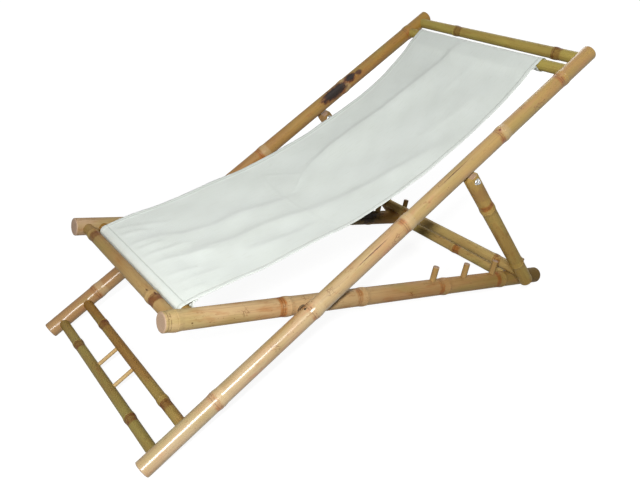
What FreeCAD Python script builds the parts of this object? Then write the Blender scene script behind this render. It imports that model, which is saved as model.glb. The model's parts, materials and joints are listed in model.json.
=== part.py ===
import FreeCAD, Part
import math
import os
from FreeCAD import Placement, Rotation, Vector

# Bamboo folding recliner, modelled in millimetres with +Z up.
# The foot end points to -X, the head end to +X, and Y runs across the chair.
# Left and right are those of a person lying in it, so left is the -Y side.
# Each of the three frames is drawn in its own plane: x along its rails, z square to them.
# One placement then tilts the finished frame into the chair.

# Chair as it stands
back_angle = 28.2            # slope of the long back rails, degrees
ground_wear = 0.6            # depth of the flat that the floor wears on each rail end

# Back frame, lengths measured along the rails from the main pivot
back_rail_y = 285.0          # rail axis to the middle of the chair
back_foot = 450.0            # pivot to the foot end
back_head = 950.0            # pivot to the head end
back_foot_radius = 19.75
back_head_radius = 18.75
head_bar_from_end = 30.0
head_sling_bar_from_end = 80.0
lower_foot_bar_from_end = 37.5
upper_foot_bar_from_end = 112.0
spindle_ys = (-41.0, 52.0)
spindle_radius = 4.6
spindle_depth = 8.0          # spindle end inside its bar

# Seat frame, lengths measured along the rails from the main pivot
side_gap = 3.3               # seat rail to back rail
seat_front = 317.0
seat_rear = 877.0
seat_front_radius = 21.0
seat_rear_radius = 22.0
front_bar_from_end = 28.5
front_sling_bar_from_end = 66.0
rear_bar_from_end = 117.0

# Rest pegs that stand on the seat rails
peg_count = 4
last_peg_from_end = 93.0
peg_spacing = 120.0
peg_radius = 8.0
peg_top_z = 59.5
peg_bottom_z = 10.0
peg_edge = 1.2               # rounding of a peg's top

# Prop frame, hung under the back rails
hinge_x = 502.0
leg_to_rail = 4.4            # round head of a leg to the back rail
prop_leg_radius = 18.5
bar_to_last_peg = 24.0       # room in which the prop bar swings past the last peg
leg_past_bar = 40.0          # lower end of a leg below the prop bar
tongue_thickness = 5.0
tongue_width = 16.0
tongue_below_hinge = 40.0
tongue_in_rail = 8.0         # top of the tongue above the rail's axis
slot_side_gap = 0.5          # tongue to the cheeks of the slot
slot_past_tongue = 7.0
head_relief = 0.2            # round head of a leg, less than the leg's own radius
bolt_radius = 3.0
bolt_head_height = 4.0
bolt_past_nut = 3.0
washer_radius = 8.0
washer_thickness = 1.5
nut_flats = 10.0
nut_height = 5.0
spot_face_depth = 2.0
spot_margin = 1.0            # spot face wider than what sits in it

# Cross bars: radius at the left end and at the right end
head_bar_radii = (15.0, 13.2)
head_sling_bar_radii = (14.6, 12.8)
lower_foot_bar_radii = (12.5, 11.5)
upper_foot_bar_radii = (12.2, 11.6)
front_bar_radii = (14.2, 13.3)
front_sling_bar_radii = (13.6, 13.6)
rear_bar_radii = (15.0, 14.0)
prop_bar_radii = (15.0, 14.0)

# Main pivot
pin_radius = 4.0
pin_head_radius = 8.0
pin_head_height = 3.0
pivot_washer_radius = 12.0
pivot_spot_depth = 1.0
pin_past_axis = 9.0          # how far the pin goes past the back rail's axis
nail_radius = 1.25
nail_head_radius = 2.4
nail_head_height = 1.0
nail_proud = 0.3             # nail head above the rail
nail_depth = 7.0             # nail tip below the back rail's axis

# Bamboo nodes, as shares of each culm from its first end (foot, front, left or hinge)
back_rail_left_nodes = (0.140, 0.3335, 0.538, 0.7665, 0.923)
back_rail_right_nodes = (0.1085, 0.304, 0.523, 0.746, 0.9415)
seat_rail_left_nodes = (0.022, 0.2395, 0.422, 0.661, 0.8585)
seat_rail_right_nodes = (0.125, 0.346, 0.560, 0.7915, 0.9655)
head_bar_nodes = (0.121, 0.741)
lower_foot_bar_nodes = (0.218, 0.802)
upper_foot_bar_nodes = (0.165, 0.7945)
front_bar_nodes = (0.189, 0.911)
rear_bar_nodes = (0.447, 0.919)
prop_bar_nodes = (0.155, 0.860)
prop_leg_left_nodes = (0.280, 0.800)
prop_leg_right_nodes = (0.439, 0.886)
node_rise = 1.4              # how far a node ring stands out
node_reach = 13.0            # half length of the swelling at a node
node_fullness = 0.68         # rise halfway up the swelling, as a share of the whole
scar_depth = 0.8             # groove that the leaf sheath left round the ring
scar_reach = 1.2             # half width of that groove

# Canvas sling
cloth = 1.5                  # thickness, hems included
sleeve_slack = 0.4           # cloth to sling bar
seam_from_bar = 30.0         # sleeve seam behind the bar's axis
sleeve_reach = 44.0          # end of the flat part of each sleeve
front_insets = (42.0, 27.0)  # cloth edges inside the seat rails' axes, left and right
head_insets = (81.0, 49.0)   # cloth edges inside the back rails' axes
front_slope = 9.4            # slope of the cloth as it leaves the front bar, degrees
head_slope = 34.0            # and as it reaches the head bar
# Line of the cloth between the sleeves: share of the way from sleeve to sleeve,
# sag below the straight line, depth of the hollow across the chair, height of the two folds
cloth_line = (
    (0.143, 33.1, 4.0, 3.0),
    (0.265, 53.7, 8.0, 3.5),
    (0.378, 71.1, 11.0, 3.0),
    (0.484, 78.6, 13.0, 2.0),
    (0.609, 74.1, 14.0, 1.5),
    (0.739, 60.8, 12.0, 1.5),
    (0.866, 38.0, 7.0, 1.0),
    (0.960, 16.3, 2.5, 0.5),
)

# Fits
glue_gap = 0.05              # tenon, peg or nail in its hole
running_gap = 0.08           # pin or bolt that turns in its hole
rest_gap = 0.3               # prop bar above the seat rails
end_gap = 0.5                # tip of a tenon to the bottom of its hole
rim = 3.0                    # rounded edge of a cut culm end
tenon_radius = 9.0
tenon_past_axis = 5.0
shoulder_bite = 0.7          # full width of a bar goes this far into the side of a rail
over = 5.0                   # cuts start this far outside the wood

# The chair stands on the lower rims of four culm ends.
# The seat slope follows from the height at which the back rails hold the pivot.
back_slope = math.radians(back_angle)
pivot_z = (
    (back_foot - rim) * math.sin(back_slope)
    + (back_foot_radius - rim) * math.cos(back_slope)
    + rim - ground_wear
)
rear_run = seat_rear - rim
rear_drop = seat_rear_radius - rim
seat_slope = (
    math.asin((pivot_z - rim + ground_wear) / math.hypot(rear_run, rear_drop))
    - math.atan2(rear_drop, rear_run)
)
seat_angle = math.degrees(seat_slope)

# The origin is on the floor, under the middle of the chair's length.
low_x = (
    -(back_foot - rim) * math.cos(back_slope)
    - (back_foot_radius - rim) * math.sin(back_slope)
    - rim
)
high_x = rear_run * math.cos(seat_slope) + rear_drop * math.sin(seat_slope) + rim
pivot_x = -(low_x + high_x) / 2

Y_AXIS = Vector(0, 1, 0)
Z_AXIS = Vector(0, 0, 1)
back_place = Placement(Vector(pivot_x, 0, pivot_z), Rotation(Y_AXIS, -back_angle))
seat_place = Placement(Vector(pivot_x, 0, pivot_z), Rotation(Y_AXIS, seat_angle))

pieces = {}


def radius_at(x, x0, x1, r0, r1):
    return r0 + (r1 - r0) * (x - x0) / (x1 - x0)


def back_radius(x):
    return radius_at(x, -back_foot, back_head, back_foot_radius, back_head_radius)


def seat_radius(x):
    return radius_at(x, -seat_front, seat_rear, seat_front_radius, seat_rear_radius)


# Places of the cross bars, pegs and rails
seat_rail_y = back_rail_y - back_radius(0) - side_gap - seat_radius(0)
head_bar_x = back_head - head_bar_from_end
head_sling_bar_x = back_head - head_sling_bar_from_end
lower_foot_bar_x = lower_foot_bar_from_end - back_foot
upper_foot_bar_x = upper_foot_bar_from_end - back_foot
front_bar_x = front_bar_from_end - seat_front
front_sling_bar_x = front_sling_bar_from_end - seat_front
rear_bar_x = seat_rear - rear_bar_from_end
last_peg_x = seat_rear - last_peg_from_end
peg_xs = [last_peg_x - i * peg_spacing for i in range(peg_count)]
prop_bar_x = last_peg_x - peg_radius - bar_to_last_peg - max(prop_bar_radii)


def cylinder(radius, start, end):
    along = end - start
    return Part.makeCylinder(radius, along.Length, start, along)


def across(radius, x, z, y0, y1):
    return cylinder(radius, Vector(x, y0, z), Vector(x, y1, z))


def box(x0, x1, y0, y1, z0, z1):
    return Part.makeBox(x1 - x0, y1 - y0, z1 - z0, Vector(x0, y0, z0))


def hexagon(flats, x, z, y0, y1):
    points = []
    for i in range(7):
        turn = math.radians(60 * i)
        reach = flats / math.sqrt(3)
        points.append(Vector(x + reach * math.cos(turn), y0, z + reach * math.sin(turn)))
    return Part.Face(Part.makePolygon(points)).extrude(Vector(0, y1 - y0, 0))


def arc(a, b, c):
    return Part.Arc(a, b, c).toShape()


def line(a, b):
    return Part.LineSegment(a, b).toShape()


# A culm lies along x. Its outline has a swelling with a scar groove at each node.
# Its ends are cut square, rounded at the rim, or turned down to a tenon.
def culm(x0, x1, r0, r1, nodes, rim_radius=0.0, tenon=None):
    def at(x, rise=0.0):
        return Vector(x, radius_at(x, x0, x1, r0, r1) + rise, 0)

    edges = []
    if tenon:
        reach, radius = tenon
        tip = x0 - reach
        corners = [Vector(tip, 0, 0), Vector(tip, radius, 0), Vector(x0, radius, 0), at(x0)]
        last = at(x0)
    elif rim_radius:
        foot = Vector(x0, r0 - rim_radius, 0)
        corners = [Vector(x0, 0, 0), foot]
        last = at(x0 + rim_radius)
    else:
        corners = [Vector(x0, 0, 0), at(x0)]
        last = at(x0)
    edges += [line(a, b) for a, b in zip(corners, corners[1:])]
    bend = rim_radius * (1 - math.sqrt(0.5))
    if rim_radius:
        edges.append(arc(foot, Vector(x0 + bend, last.y - bend, 0), last))
    for share in nodes:
        node = x0 + (x1 - x0) * share
        half_rise = node_rise * node_fullness
        start = at(node - node_reach)
        left = at(node - scar_reach, node_rise)
        right = at(node + scar_reach, node_rise)
        end = at(node + node_reach)
        edges.append(line(last, start))
        edges.append(arc(start, at(node - node_reach / 2, half_rise), left))
        edges.append(arc(left, at(node, node_rise - scar_depth), right))
        edges.append(arc(right, at(node + node_reach / 2, half_rise), end))
        last = end
    if rim_radius:
        shoulder = at(x1 - rim_radius)
        face = Vector(x1, r1 - rim_radius, 0)
        edges.append(line(last, shoulder))
        edges.append(arc(shoulder, Vector(x1 - bend, shoulder.y - bend, 0), face))
        corners = [face, Vector(x1, 0, 0)]
    elif tenon:
        edges.append(line(last, at(x1)))
        tip = x1 + reach
        corners = [at(x1), Vector(x1, radius, 0), Vector(tip, radius, 0), Vector(tip, 0, 0)]
    else:
        edges.append(line(last, at(x1)))
        corners = [at(x1), Vector(x1, 0, 0)]
    edges += [line(a, b) for a, b in zip(corners, corners[1:])]
    edges.append(line(edges[-1].Vertexes[-1].Point, edges[0].Vertexes[0].Point))
    face = Part.Face(Part.Wire(edges))
    return face.revolve(Vector(0, 0, 0), Vector(1, 0, 0), 360)


# A cross bar's full width ends just inside the rails, and a thinner tenon goes on.
def shoulder_y(rail_y, rail_radius, bar_radius):
    return rail_y - math.sqrt(rail_radius ** 2 - bar_radius ** 2) + shoulder_bite


def cross_bar(x, z, radii, nodes, rail_y, rail_radius):
    shoulder = shoulder_y(rail_y, rail_radius, max(radii))
    tip = rail_y + tenon_past_axis
    bar = culm(-shoulder, shoulder, radii[0], radii[1], nodes, tenon=(tip - shoulder, tenon_radius))
    bar.rotate(Vector(0, 0, 0), Z_AXIS, 90)
    bar.translate(Vector(x, 0, z))
    return bar


def socket(x, z, radii, side, rail_y, rail_radius):
    bar_radius = radii[0] if side < 0 else radii[1]
    shoulder = shoulder_y(rail_y, rail_radius, max(radii))
    inside = rail_y - rail_radius - over
    tip = rail_y + tenon_past_axis + end_gap
    wide = across(bar_radius + glue_gap, x, z, side * inside, side * shoulder)
    narrow = across(tenon_radius + glue_gap, x, z, side * inside, side * tip)
    return [wide, narrow]


def trim_at_floor(shape, place):
    placed = shape.copy()
    placed.Placement = place.multiply(placed.Placement)
    length = back_foot + back_head
    floor = box(-length, length, -length, length, -length, 0)
    return placed.cut(floor)


# Places in the main pivot and in the prop hinge
washer_inner_y = seat_rail_y + seat_radius(0) - pivot_spot_depth
washer_outer_y = back_rail_y - back_radius(0) + pivot_spot_depth
pin_head_y = seat_rail_y - seat_radius(0) + pivot_spot_depth
pin_tip_y = back_rail_y + pin_past_axis
nail_top_z = back_radius(0) + nail_proud
hinge_z = -(back_radius(hinge_x) + leg_to_rail + prop_leg_radius)

back_bars = {
    "head_bar": (head_bar_x, head_bar_radii, head_bar_nodes),
    "head_sling_bar": (head_sling_bar_x, head_sling_bar_radii, ()),
    "lower_foot_bar": (lower_foot_bar_x, lower_foot_bar_radii, lower_foot_bar_nodes),
    "upper_foot_bar": (upper_foot_bar_x, upper_foot_bar_radii, upper_foot_bar_nodes),
}
seat_bars = {
    "front_bar": (front_bar_x, front_bar_radii, front_bar_nodes),
    "front_sling_bar": (front_sling_bar_x, front_sling_bar_radii, ()),
    "rear_bar": (rear_bar_x, rear_bar_radii, rear_bar_nodes),
}
sides = {"left": -1, "right": 1}

# Back frame: two long rails
for name, side in sides.items():
    nodes = back_rail_left_nodes if side < 0 else back_rail_right_nodes
    rail = culm(-back_foot, back_head, back_foot_radius, back_head_radius, nodes, rim_radius=rim)
    rail.translate(Vector(0, side * back_rail_y, 0))
    cuts = []
    for x, radii, _ in back_bars.values():
        cuts += socket(x, 0, radii, side, back_rail_y, back_radius(x))
    pin_end_y = pin_tip_y + end_gap
    cuts.append(across(pin_radius + glue_gap, 0, 0, side * washer_inner_y, side * pin_end_y))
    spot_y = side * washer_outer_y
    spot_radius = pivot_washer_radius + spot_margin
    cuts.append(across(spot_radius, 0, 0, spot_y - side * over, spot_y))
    y = side * back_rail_y
    above = Vector(0, y, nail_top_z + over)
    cuts.append(cylinder(nail_radius + glue_gap, Vector(0, y, -nail_depth - end_gap), above))
    nail_seat = Vector(0, y, nail_top_z - nail_head_height)
    cuts.append(cylinder(nail_head_radius + glue_gap, nail_seat, above))
    half = tongue_width / 2 + glue_gap
    thick = tongue_thickness / 2 + glue_gap
    top = tongue_in_rail + end_gap
    cuts.append(box(hinge_x - half, hinge_x + half, y - thick, y + thick, hinge_z, top))
    rail = rail.cut(Part.makeCompound(cuts))
    pieces["back_rail_" + name] = trim_at_floor(rail, back_place)

# Back frame: cross bars and the two thin spindles of the foot ladder
for name, (x, radii, nodes) in back_bars.items():
    bar = cross_bar(x, 0, radii, nodes, back_rail_y, back_radius(x))
    if "foot" in name:
        for y in spindle_ys:
            bar_radius = radius_at(y, -back_rail_y, back_rail_y, *radii)
            way = 1 if name.startswith("lower") else -1
            bottom = Vector(x + way * (bar_radius - spindle_depth - end_gap), y, 0)
            mouth = Vector(x + way * (bar_radius + over), y, 0)
            bar = bar.cut(cylinder(spindle_radius + glue_gap, bottom, mouth))
    bar.Placement = back_place.multiply(bar.Placement)
    pieces[name] = bar

for name, y in zip(("foot_spindle_left", "foot_spindle_right"), spindle_ys):
    lower_radius = radius_at(y, -back_rail_y, back_rail_y, *lower_foot_bar_radii)
    upper_radius = radius_at(y, -back_rail_y, back_rail_y, *upper_foot_bar_radii)
    low = Vector(lower_foot_bar_x + lower_radius - spindle_depth, y, 0)
    high = Vector(upper_foot_bar_x - upper_radius + spindle_depth, y, 0)
    spindle = cylinder(spindle_radius, low, high)
    spindle.Placement = back_place.multiply(spindle.Placement)
    pieces[name] = spindle

# Back frame: pivot pins with their lock nails, and the steel tongues of the prop hinges
pins = []
nails = []
tongues = {}
for name, side in sides.items():
    shank = across(pin_radius, 0, 0, side * pin_head_y, side * pin_tip_y)
    head_y = pin_head_y - pin_head_height
    head = across(pin_head_radius, 0, 0, side * head_y, side * pin_head_y)
    pin = shank.fuse(head).removeSplitter()
    y = side * back_rail_y
    tip = Vector(0, y, -nail_depth)
    nail_seat = Vector(0, y, nail_top_z - nail_head_height)
    pins.append(pin.cut(cylinder(nail_radius + glue_gap, tip, nail_seat)))
    nail = cylinder(nail_radius, tip, nail_seat)
    nail_head = cylinder(nail_head_radius, nail_seat, Vector(0, y, nail_top_z))
    nails.append(nail.fuse(nail_head).removeSplitter())
    half = tongue_width / 2
    thick = tongue_thickness / 2
    end_z = hinge_z - tongue_below_hinge + half
    plate = box(hinge_x - half, hinge_x + half, y - thick, y + thick, end_z, tongue_in_rail)
    end = across(half, hinge_x, end_z, y - thick, y + thick)
    tongue = plate.fuse(end).removeSplitter()
    hole = across(bolt_radius + running_gap, hinge_x, hinge_z, y - thick - over, y + thick + over)
    tongues[name] = tongue.cut(hole)
pieces["pivot_pins"] = Part.makeCompound(pins)
pieces["pivot_lock_nails"] = Part.makeCompound(nails)
pieces["hinge_tongue_left"] = tongues["left"]
pieces["hinge_tongue_right"] = tongues["right"]
for name in ("pivot_pins", "pivot_lock_nails", "hinge_tongue_left", "hinge_tongue_right"):
    pieces[name].Placement = back_place

# Seat frame: two rails with the pivot holes, the pegs' holes and the bars' sockets
for name, side in sides.items():
    nodes = seat_rail_left_nodes if side < 0 else seat_rail_right_nodes
    rail = culm(-seat_front, seat_rear, seat_front_radius, seat_rear_radius, nodes, rim_radius=rim)
    y = side * seat_rail_y
    rail.translate(Vector(0, y, 0))
    cuts = []
    for x, radii, _ in seat_bars.values():
        cuts += socket(x, 0, radii, side, seat_rail_y, seat_radius(x))
    for x in peg_xs:
        bottom = Vector(x, y, peg_bottom_z - end_gap)
        cuts.append(cylinder(peg_radius + glue_gap, bottom, Vector(x, y, peg_top_z)))
    inner = side * (pin_head_y - over)
    outer = side * (washer_inner_y + over)
    cuts.append(across(pin_radius + running_gap, 0, 0, inner, outer))
    spot_radius = pivot_washer_radius + spot_margin
    cuts.append(across(spot_radius, 0, 0, side * washer_inner_y, outer))
    cuts.append(across(pin_head_radius + spot_margin, 0, 0, inner, side * pin_head_y))
    rail = rail.cut(Part.makeCompound(cuts))
    pieces["seat_rail_" + name] = trim_at_floor(rail, seat_place)

    pegs = []
    for x in peg_xs:
        peg = cylinder(peg_radius, Vector(x, y, peg_bottom_z), Vector(x, y, peg_top_z))
        top = [e for e in peg.Edges if e.BoundBox.ZMin > (peg_bottom_z + peg_top_z) / 2]
        pegs.append(peg.makeFillet(peg_edge, top))
    pieces["rest_pegs_" + name] = Part.makeCompound(pegs)
    pieces["rest_pegs_" + name].Placement = seat_place

for name, (x, radii, nodes) in seat_bars.items():
    bar = cross_bar(x, 0, radii, nodes, seat_rail_y, seat_radius(x))
    bar.Placement = seat_place.multiply(bar.Placement)
    pieces[name] = bar

washers = []
for side in sides.values():
    washer = across(pivot_washer_radius, 0, 0, side * washer_inner_y, side * washer_outer_y)
    washers.append(washer.cut(across(pin_radius + running_gap, 0, 0, 0, side * back_rail_y)))
pieces["pivot_washers"] = Part.makeCompound(washers)
pieces["pivot_washers"].Placement = seat_place

# Prop frame: the prop bar lies on the seat rails, and the legs run from the hinges to it.
hinge_point = back_place.multVec(Vector(hinge_x, 0, hinge_z))
bar_rest_z = seat_radius(prop_bar_x) + max(prop_bar_radii) + rest_gap
bar_point = seat_place.multVec(Vector(prop_bar_x, 0, bar_rest_z))
leg_line = bar_point - hinge_point
leg_run = leg_line.Length
leg_angle = math.degrees(math.atan2(-leg_line.z, leg_line.x))
prop_place = Placement(hinge_point, Rotation(Y_AXIS, leg_angle))

leg_end = leg_run + leg_past_bar
spot_y = prop_leg_radius - spot_face_depth
reach = prop_leg_radius + over
slot_half = tongue_thickness / 2 + slot_side_gap
slot_end = tongue_below_hinge + slot_past_tongue
bolts = []
nuts = []
hinge_washers = []
for name, side in sides.items():
    nodes = prop_leg_left_nodes if side < 0 else prop_leg_right_nodes
    y = side * back_rail_y
    leg = culm(-prop_leg_radius, leg_end, prop_leg_radius, prop_leg_radius, nodes, rim_radius=rim)
    leg.translate(Vector(0, y, 0))
    head_block = box(-reach, 0, y - reach, y + reach, -reach, reach)
    head_round = across(prop_leg_radius - head_relief, 0, 0, y - reach, y + reach)
    leg = leg.cut(head_block.cut(head_round))
    cuts = socket(leg_run, 0, prop_bar_radii, side, back_rail_y, prop_leg_radius)
    cuts.append(box(-reach, slot_end, y - slot_half, y + slot_half, -reach, reach))
    bolt_hole = across(bolt_radius + glue_gap, 0, 0, y - reach, y + reach)
    cuts.append(bolt_hole)
    for way in (-1, 1):
        start = y + way * spot_y
        cuts.append(across(washer_radius + spot_margin, 0, 0, start, y + way * reach))
        ring = across(washer_radius, 0, 0, start, start + way * washer_thickness)
        hinge_washers.append(ring.cut(bolt_hole))
    pieces["prop_leg_" + name] = leg.cut(Part.makeCompound(cuts))

    nut_start = y + side * (spot_y + washer_thickness)
    nut_end = nut_start + side * nut_height
    bolt_end = nut_end + side * bolt_past_nut
    nuts.append(hexagon(nut_flats, 0, 0, nut_start, nut_end).cut(
        across(bolt_radius + glue_gap, 0, 0, nut_start - over, nut_end + over)
    ))
    head_start = y - side * (spot_y + washer_thickness)
    shank = across(bolt_radius, 0, 0, head_start, bolt_end)
    bolt_head = hexagon(nut_flats, 0, 0, head_start - side * bolt_head_height, head_start)
    bolts.append(shank.fuse(bolt_head).removeSplitter())
pieces["hinge_bolts"] = Part.makeCompound(bolts)
pieces["hinge_nuts"] = Part.makeCompound(nuts)
pieces["hinge_washers"] = Part.makeCompound(hinge_washers)
prop_bar = cross_bar(leg_run, 0, prop_bar_radii, prop_bar_nodes, back_rail_y, prop_leg_radius)
pieces["prop_bar"] = prop_bar
prop_names = ("prop_leg_left", "prop_leg_right", "hinge_bolts", "hinge_nuts", "hinge_washers")
for name in prop_names + ("prop_bar",):
    pieces[name].Placement = prop_place.multiply(pieces[name].Placement)


# Canvas sling. A sleeve is a loop of cloth round its bar, closed by a seam under the sheet.
# It is drawn from the bar's axis, with "along" towards the sheet and "up" square to it.
def sleeve(centre, slope, way, inner_radius, edges_y):
    along = Vector(way * math.cos(slope), 0, way * math.sin(slope))
    up = Vector(-math.sin(slope), 0, math.cos(slope))
    outer_radius = inner_radius + cloth
    lean = math.atan2(inner_radius, seam_from_bar)
    low_turn = 2 * lean - math.pi / 2

    def spot(a, b):
        return centre + along * a + up * b

    def round_spot(radius, turn):
        return spot(radius * math.cos(turn), radius * math.sin(turn))

    def loop(radius):
        mid_turn = (math.pi / 2 + low_turn + 2 * math.pi) / 2
        first = arc(
            round_spot(radius, math.pi / 2),
            round_spot(radius, (math.pi / 2 + mid_turn) / 2),
            round_spot(radius, mid_turn),
        )
        second = arc(
            round_spot(radius, mid_turn),
            round_spot(radius, (mid_turn + low_turn + 2 * math.pi) / 2),
            round_spot(radius, low_turn),
        )
        return [first, second]

    seam = spot(seam_from_bar, inner_radius)
    low_inner = round_spot(inner_radius, low_turn)
    low_outer = round_spot(outer_radius, low_turn)
    rise = seam - low_inner
    share = (inner_radius - (low_outer - centre).dot(up)) / rise.dot(up)
    outer_seam = low_outer + rise * share
    top_end = spot(sleeve_reach, outer_radius)
    under_end = spot(sleeve_reach, inner_radius)
    outline = [line(top_end, round_spot(outer_radius, math.pi / 2))] + loop(outer_radius)
    outline += [line(low_outer, outer_seam), line(outer_seam, under_end), line(under_end, top_end)]
    hole = [line(seam, round_spot(inner_radius, math.pi / 2))] + loop(inner_radius)
    hole += [line(low_inner, seam)]
    solids = []
    for wire in (outline, hole):
        face = Part.Face(Part.Wire(wire))
        face.translate(Vector(0, edges_y[0], 0))
        solids.append(face.extrude(Vector(0, edges_y[1] - edges_y[0], 0)))
    middle = spot(sleeve_reach, inner_radius + cloth / 2)
    return solids[0].cut(solids[1]), middle, along


# One cross section of the sheet: three shallow troughs that meet in two long folds.
def sheet_section(point, tangent, edges_y, hollow, fold):
    up = Vector(-tangent.z, 0, tangent.x)
    width = edges_y[1] - edges_y[0]

    def spot(step, side):
        share = step / 6
        sink = hollow * 4 * share * (1 - share)
        if step in (2, 4):
            sink -= fold
        y = edges_y[0] + width * share
        return Vector(point.x, y, point.z) + up * (side * cloth / 2 - sink)

    edges = []
    for side in (1, -1):
        for step in (0, 2, 4):
            a, b, c = (spot(step + i, side) for i in range(3))
            edges.append(arc(a, b, c) if hollow else line(a, c))
    edges += [line(spot(step, 1), spot(step, -1)) for step in (0, 6)]
    return Part.Wire(Part.__sortEdges__(edges))


front_edges = (front_insets[0] - seat_rail_y, seat_rail_y - front_insets[1])
head_edges = (head_insets[0] - back_rail_y, back_rail_y - head_insets[1])
front_centre = seat_place.multVec(Vector(front_sling_bar_x, 0, 0))
head_centre = back_place.multVec(Vector(head_sling_bar_x, 0, 0))
front_loop = max(front_sling_bar_radii) + sleeve_slack
head_loop = max(head_sling_bar_radii) + sleeve_slack
front_sleeve, sheet_start, start_way = sleeve(
    front_centre, math.radians(front_slope), 1, front_loop, front_edges
)
head_sleeve, sheet_end, end_way = sleeve(
    head_centre, math.radians(head_slope), -1, head_loop, head_edges
)
chord = sheet_end - sheet_start
chord_down = Vector(chord.z, 0, -chord.x).normalize()
stations = [(sheet_start, 0.0, 0.0)]
for share, sag, hollow, fold in cloth_line:
    stations.append((sheet_start + chord * share + chord_down * sag, hollow, fold))
stations.append((sheet_end, 0.0, 0.0))
sections = []
for i, (point, hollow, fold) in enumerate(stations):
    if i == 0:
        tangent = start_way
    elif i == len(stations) - 1:
        tangent = end_way * -1
    else:
        tangent = stations[i + 1][0] - stations[i - 1][0]
        tangent.normalize()
    share = (point.x - sheet_start.x) / (sheet_end.x - sheet_start.x)
    edges_y = [f + (h - f) * share for f, h in zip(front_edges, head_edges)]
    sections.append(sheet_section(point, tangent, edges_y, hollow, fold))
sheet = Part.makeLoft(sections, True, False)
pieces["sling"] = sheet.fuse([front_sleeve, head_sleeve])

os.makedirs("parts", exist_ok=True)
whole = FreeCAD.BoundBox()
for name, shape in pieces.items():
    for solid in shape.Solids:
        whole.add(solid.optimalBoundingBox(False, False))
    print(name, len(shape.Solids), "solids, volume", round(shape.Volume), shape.isValid())
    shape.exportStep("parts/" + name + ".step")
print("size", round(whole.XLength, 2), round(whole.YLength, 2), round(whole.ZLength, 2))
print("low corner", round(whole.XMin, 3), round(whole.YMin, 3), round(whole.ZMin, 3))
print("pivot", round(pivot_x, 3), round(pivot_z, 3), "seat angle", round(seat_angle, 3))
print("hinge", hinge_point, "leg run", round(leg_run, 2), "leg angle", round(leg_angle, 3))
print("bar rests at", bar_point)
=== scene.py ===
# %% [markdown]
# A bamboo folding recliner with a canvas sling.
# Poles, pins and pegs are already modelled, so this lesson gives them their surfaces.
# It then sews the cloth, because only a finely divided mesh can show its folds.
# Everything is in metres. The foot end points to -X and the head end to +X.
# Left is the left of someone lying in the chair. It is at -Y, nearer to the camera.

# %% Load the frame of the chair
import json
import math
import random

import bmesh
import bpy
import numpy as np
from mathutils import Matrix, Vector


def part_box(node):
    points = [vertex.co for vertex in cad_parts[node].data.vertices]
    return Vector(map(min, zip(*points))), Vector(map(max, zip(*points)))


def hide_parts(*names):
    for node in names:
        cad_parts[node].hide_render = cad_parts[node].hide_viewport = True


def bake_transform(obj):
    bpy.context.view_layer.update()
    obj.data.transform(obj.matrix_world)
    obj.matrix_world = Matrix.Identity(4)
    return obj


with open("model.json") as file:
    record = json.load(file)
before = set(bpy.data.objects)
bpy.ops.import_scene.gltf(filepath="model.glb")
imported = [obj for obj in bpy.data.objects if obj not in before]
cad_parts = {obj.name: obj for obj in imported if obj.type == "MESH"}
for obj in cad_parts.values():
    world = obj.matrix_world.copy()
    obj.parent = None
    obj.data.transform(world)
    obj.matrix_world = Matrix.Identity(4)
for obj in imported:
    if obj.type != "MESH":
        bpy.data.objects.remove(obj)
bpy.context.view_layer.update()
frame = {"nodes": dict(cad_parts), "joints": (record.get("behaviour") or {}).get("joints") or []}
nodes = frame["nodes"]
joint_at = {joint["name"]: Vector(joint["pos_m"]) for joint in frame["joints"]}

# %% [markdown]
# Two small helpers serve every finish below.
# Colours are written as the sRGB hex values that a paint chart would give.
# Blender mixes light in linear values, so one function turns hex into linear.
# The other adds a shader node, sets it up and wires its inputs in one go.
# An input takes a plain value, an output of a node, or a node, which stands for its output.

# %% Colour and node helpers
def linear(hex_colour):
    channels = [int(hex_colour[i:i + 2], 16) / 255 for i in (1, 3, 5)]
    curved = [c / 12.92 if c <= 0.04045 else ((c + 0.055) / 1.055) ** 2.4 for c in channels]
    return (*curved, 1.0)


def add(tree, kind, sockets, **settings):
    made = tree.nodes.new(kind)
    for name, value in settings.items():
        setattr(made, name, value)
    for socket, value in sockets.items():
        if isinstance(value, bpy.types.Node):
            value = next(output for output in value.outputs if output.enabled)
        if isinstance(value, bpy.types.NodeSocket):
            tree.links.new(value, made.inputs[socket])
        else:
            made.inputs[socket].default_value = value
    return made


print("white is", linear("#ffffff")[:3])

# %% Start and end of a material
def new_material(name):
    material = bpy.data.materials.new(name)
    material.use_nodes = True
    material.node_tree.nodes.clear()
    return material, material.node_tree


def finish_material(tree, shader):
    add(tree, "ShaderNodeOutputMaterial", {"Surface": shader})


print("materials so far", len(bpy.data.materials))

# %% [markdown]
# The photographer stood in front of the foot end, a little to the sitter's left,
# and held the camera about a metre above the floor, looking down.
# The camera's matrix is built from the way it looks, with a slight roll of the hand.

# %% Way the camera looks
camera_place = Vector((-0.9254, -1.2565, 1.0322))
look_azimuth = math.radians(36.76)    # from +Y towards +X
look_down = math.radians(28.08)
roll = math.radians(1.17)

forward = Vector((
    math.sin(look_azimuth) * math.cos(look_down),
    math.cos(look_azimuth) * math.cos(look_down),
    -math.sin(look_down),
))
level_right = forward.cross(Vector((0, 0, 1))).normalized()
level_up = level_right.cross(forward)
right = level_right * math.cos(roll) + level_up * math.sin(roll)
up = level_up * math.cos(roll) - level_right * math.sin(roll)
print("camera looks along", [round(x, 3) for x in forward])

# %% Camera
camera_data = bpy.data.cameras.new("camera")
camera_data.lens = 38.29              # millimetres, on a sensor 36 mm wide
camera_data.sensor_width = 36
camera_data.sensor_fit = "HORIZONTAL"
camera = bpy.data.objects.new("camera", camera_data)
bpy.context.scene.collection.objects.link(camera)
turned = Matrix((right, up, -forward)).transposed().to_4x4()
camera.matrix_world = Matrix.Translation(camera_place) @ turned
bpy.context.scene.camera = camera
print("camera lens", round(camera_data.lens, 2), "mm")

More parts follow.
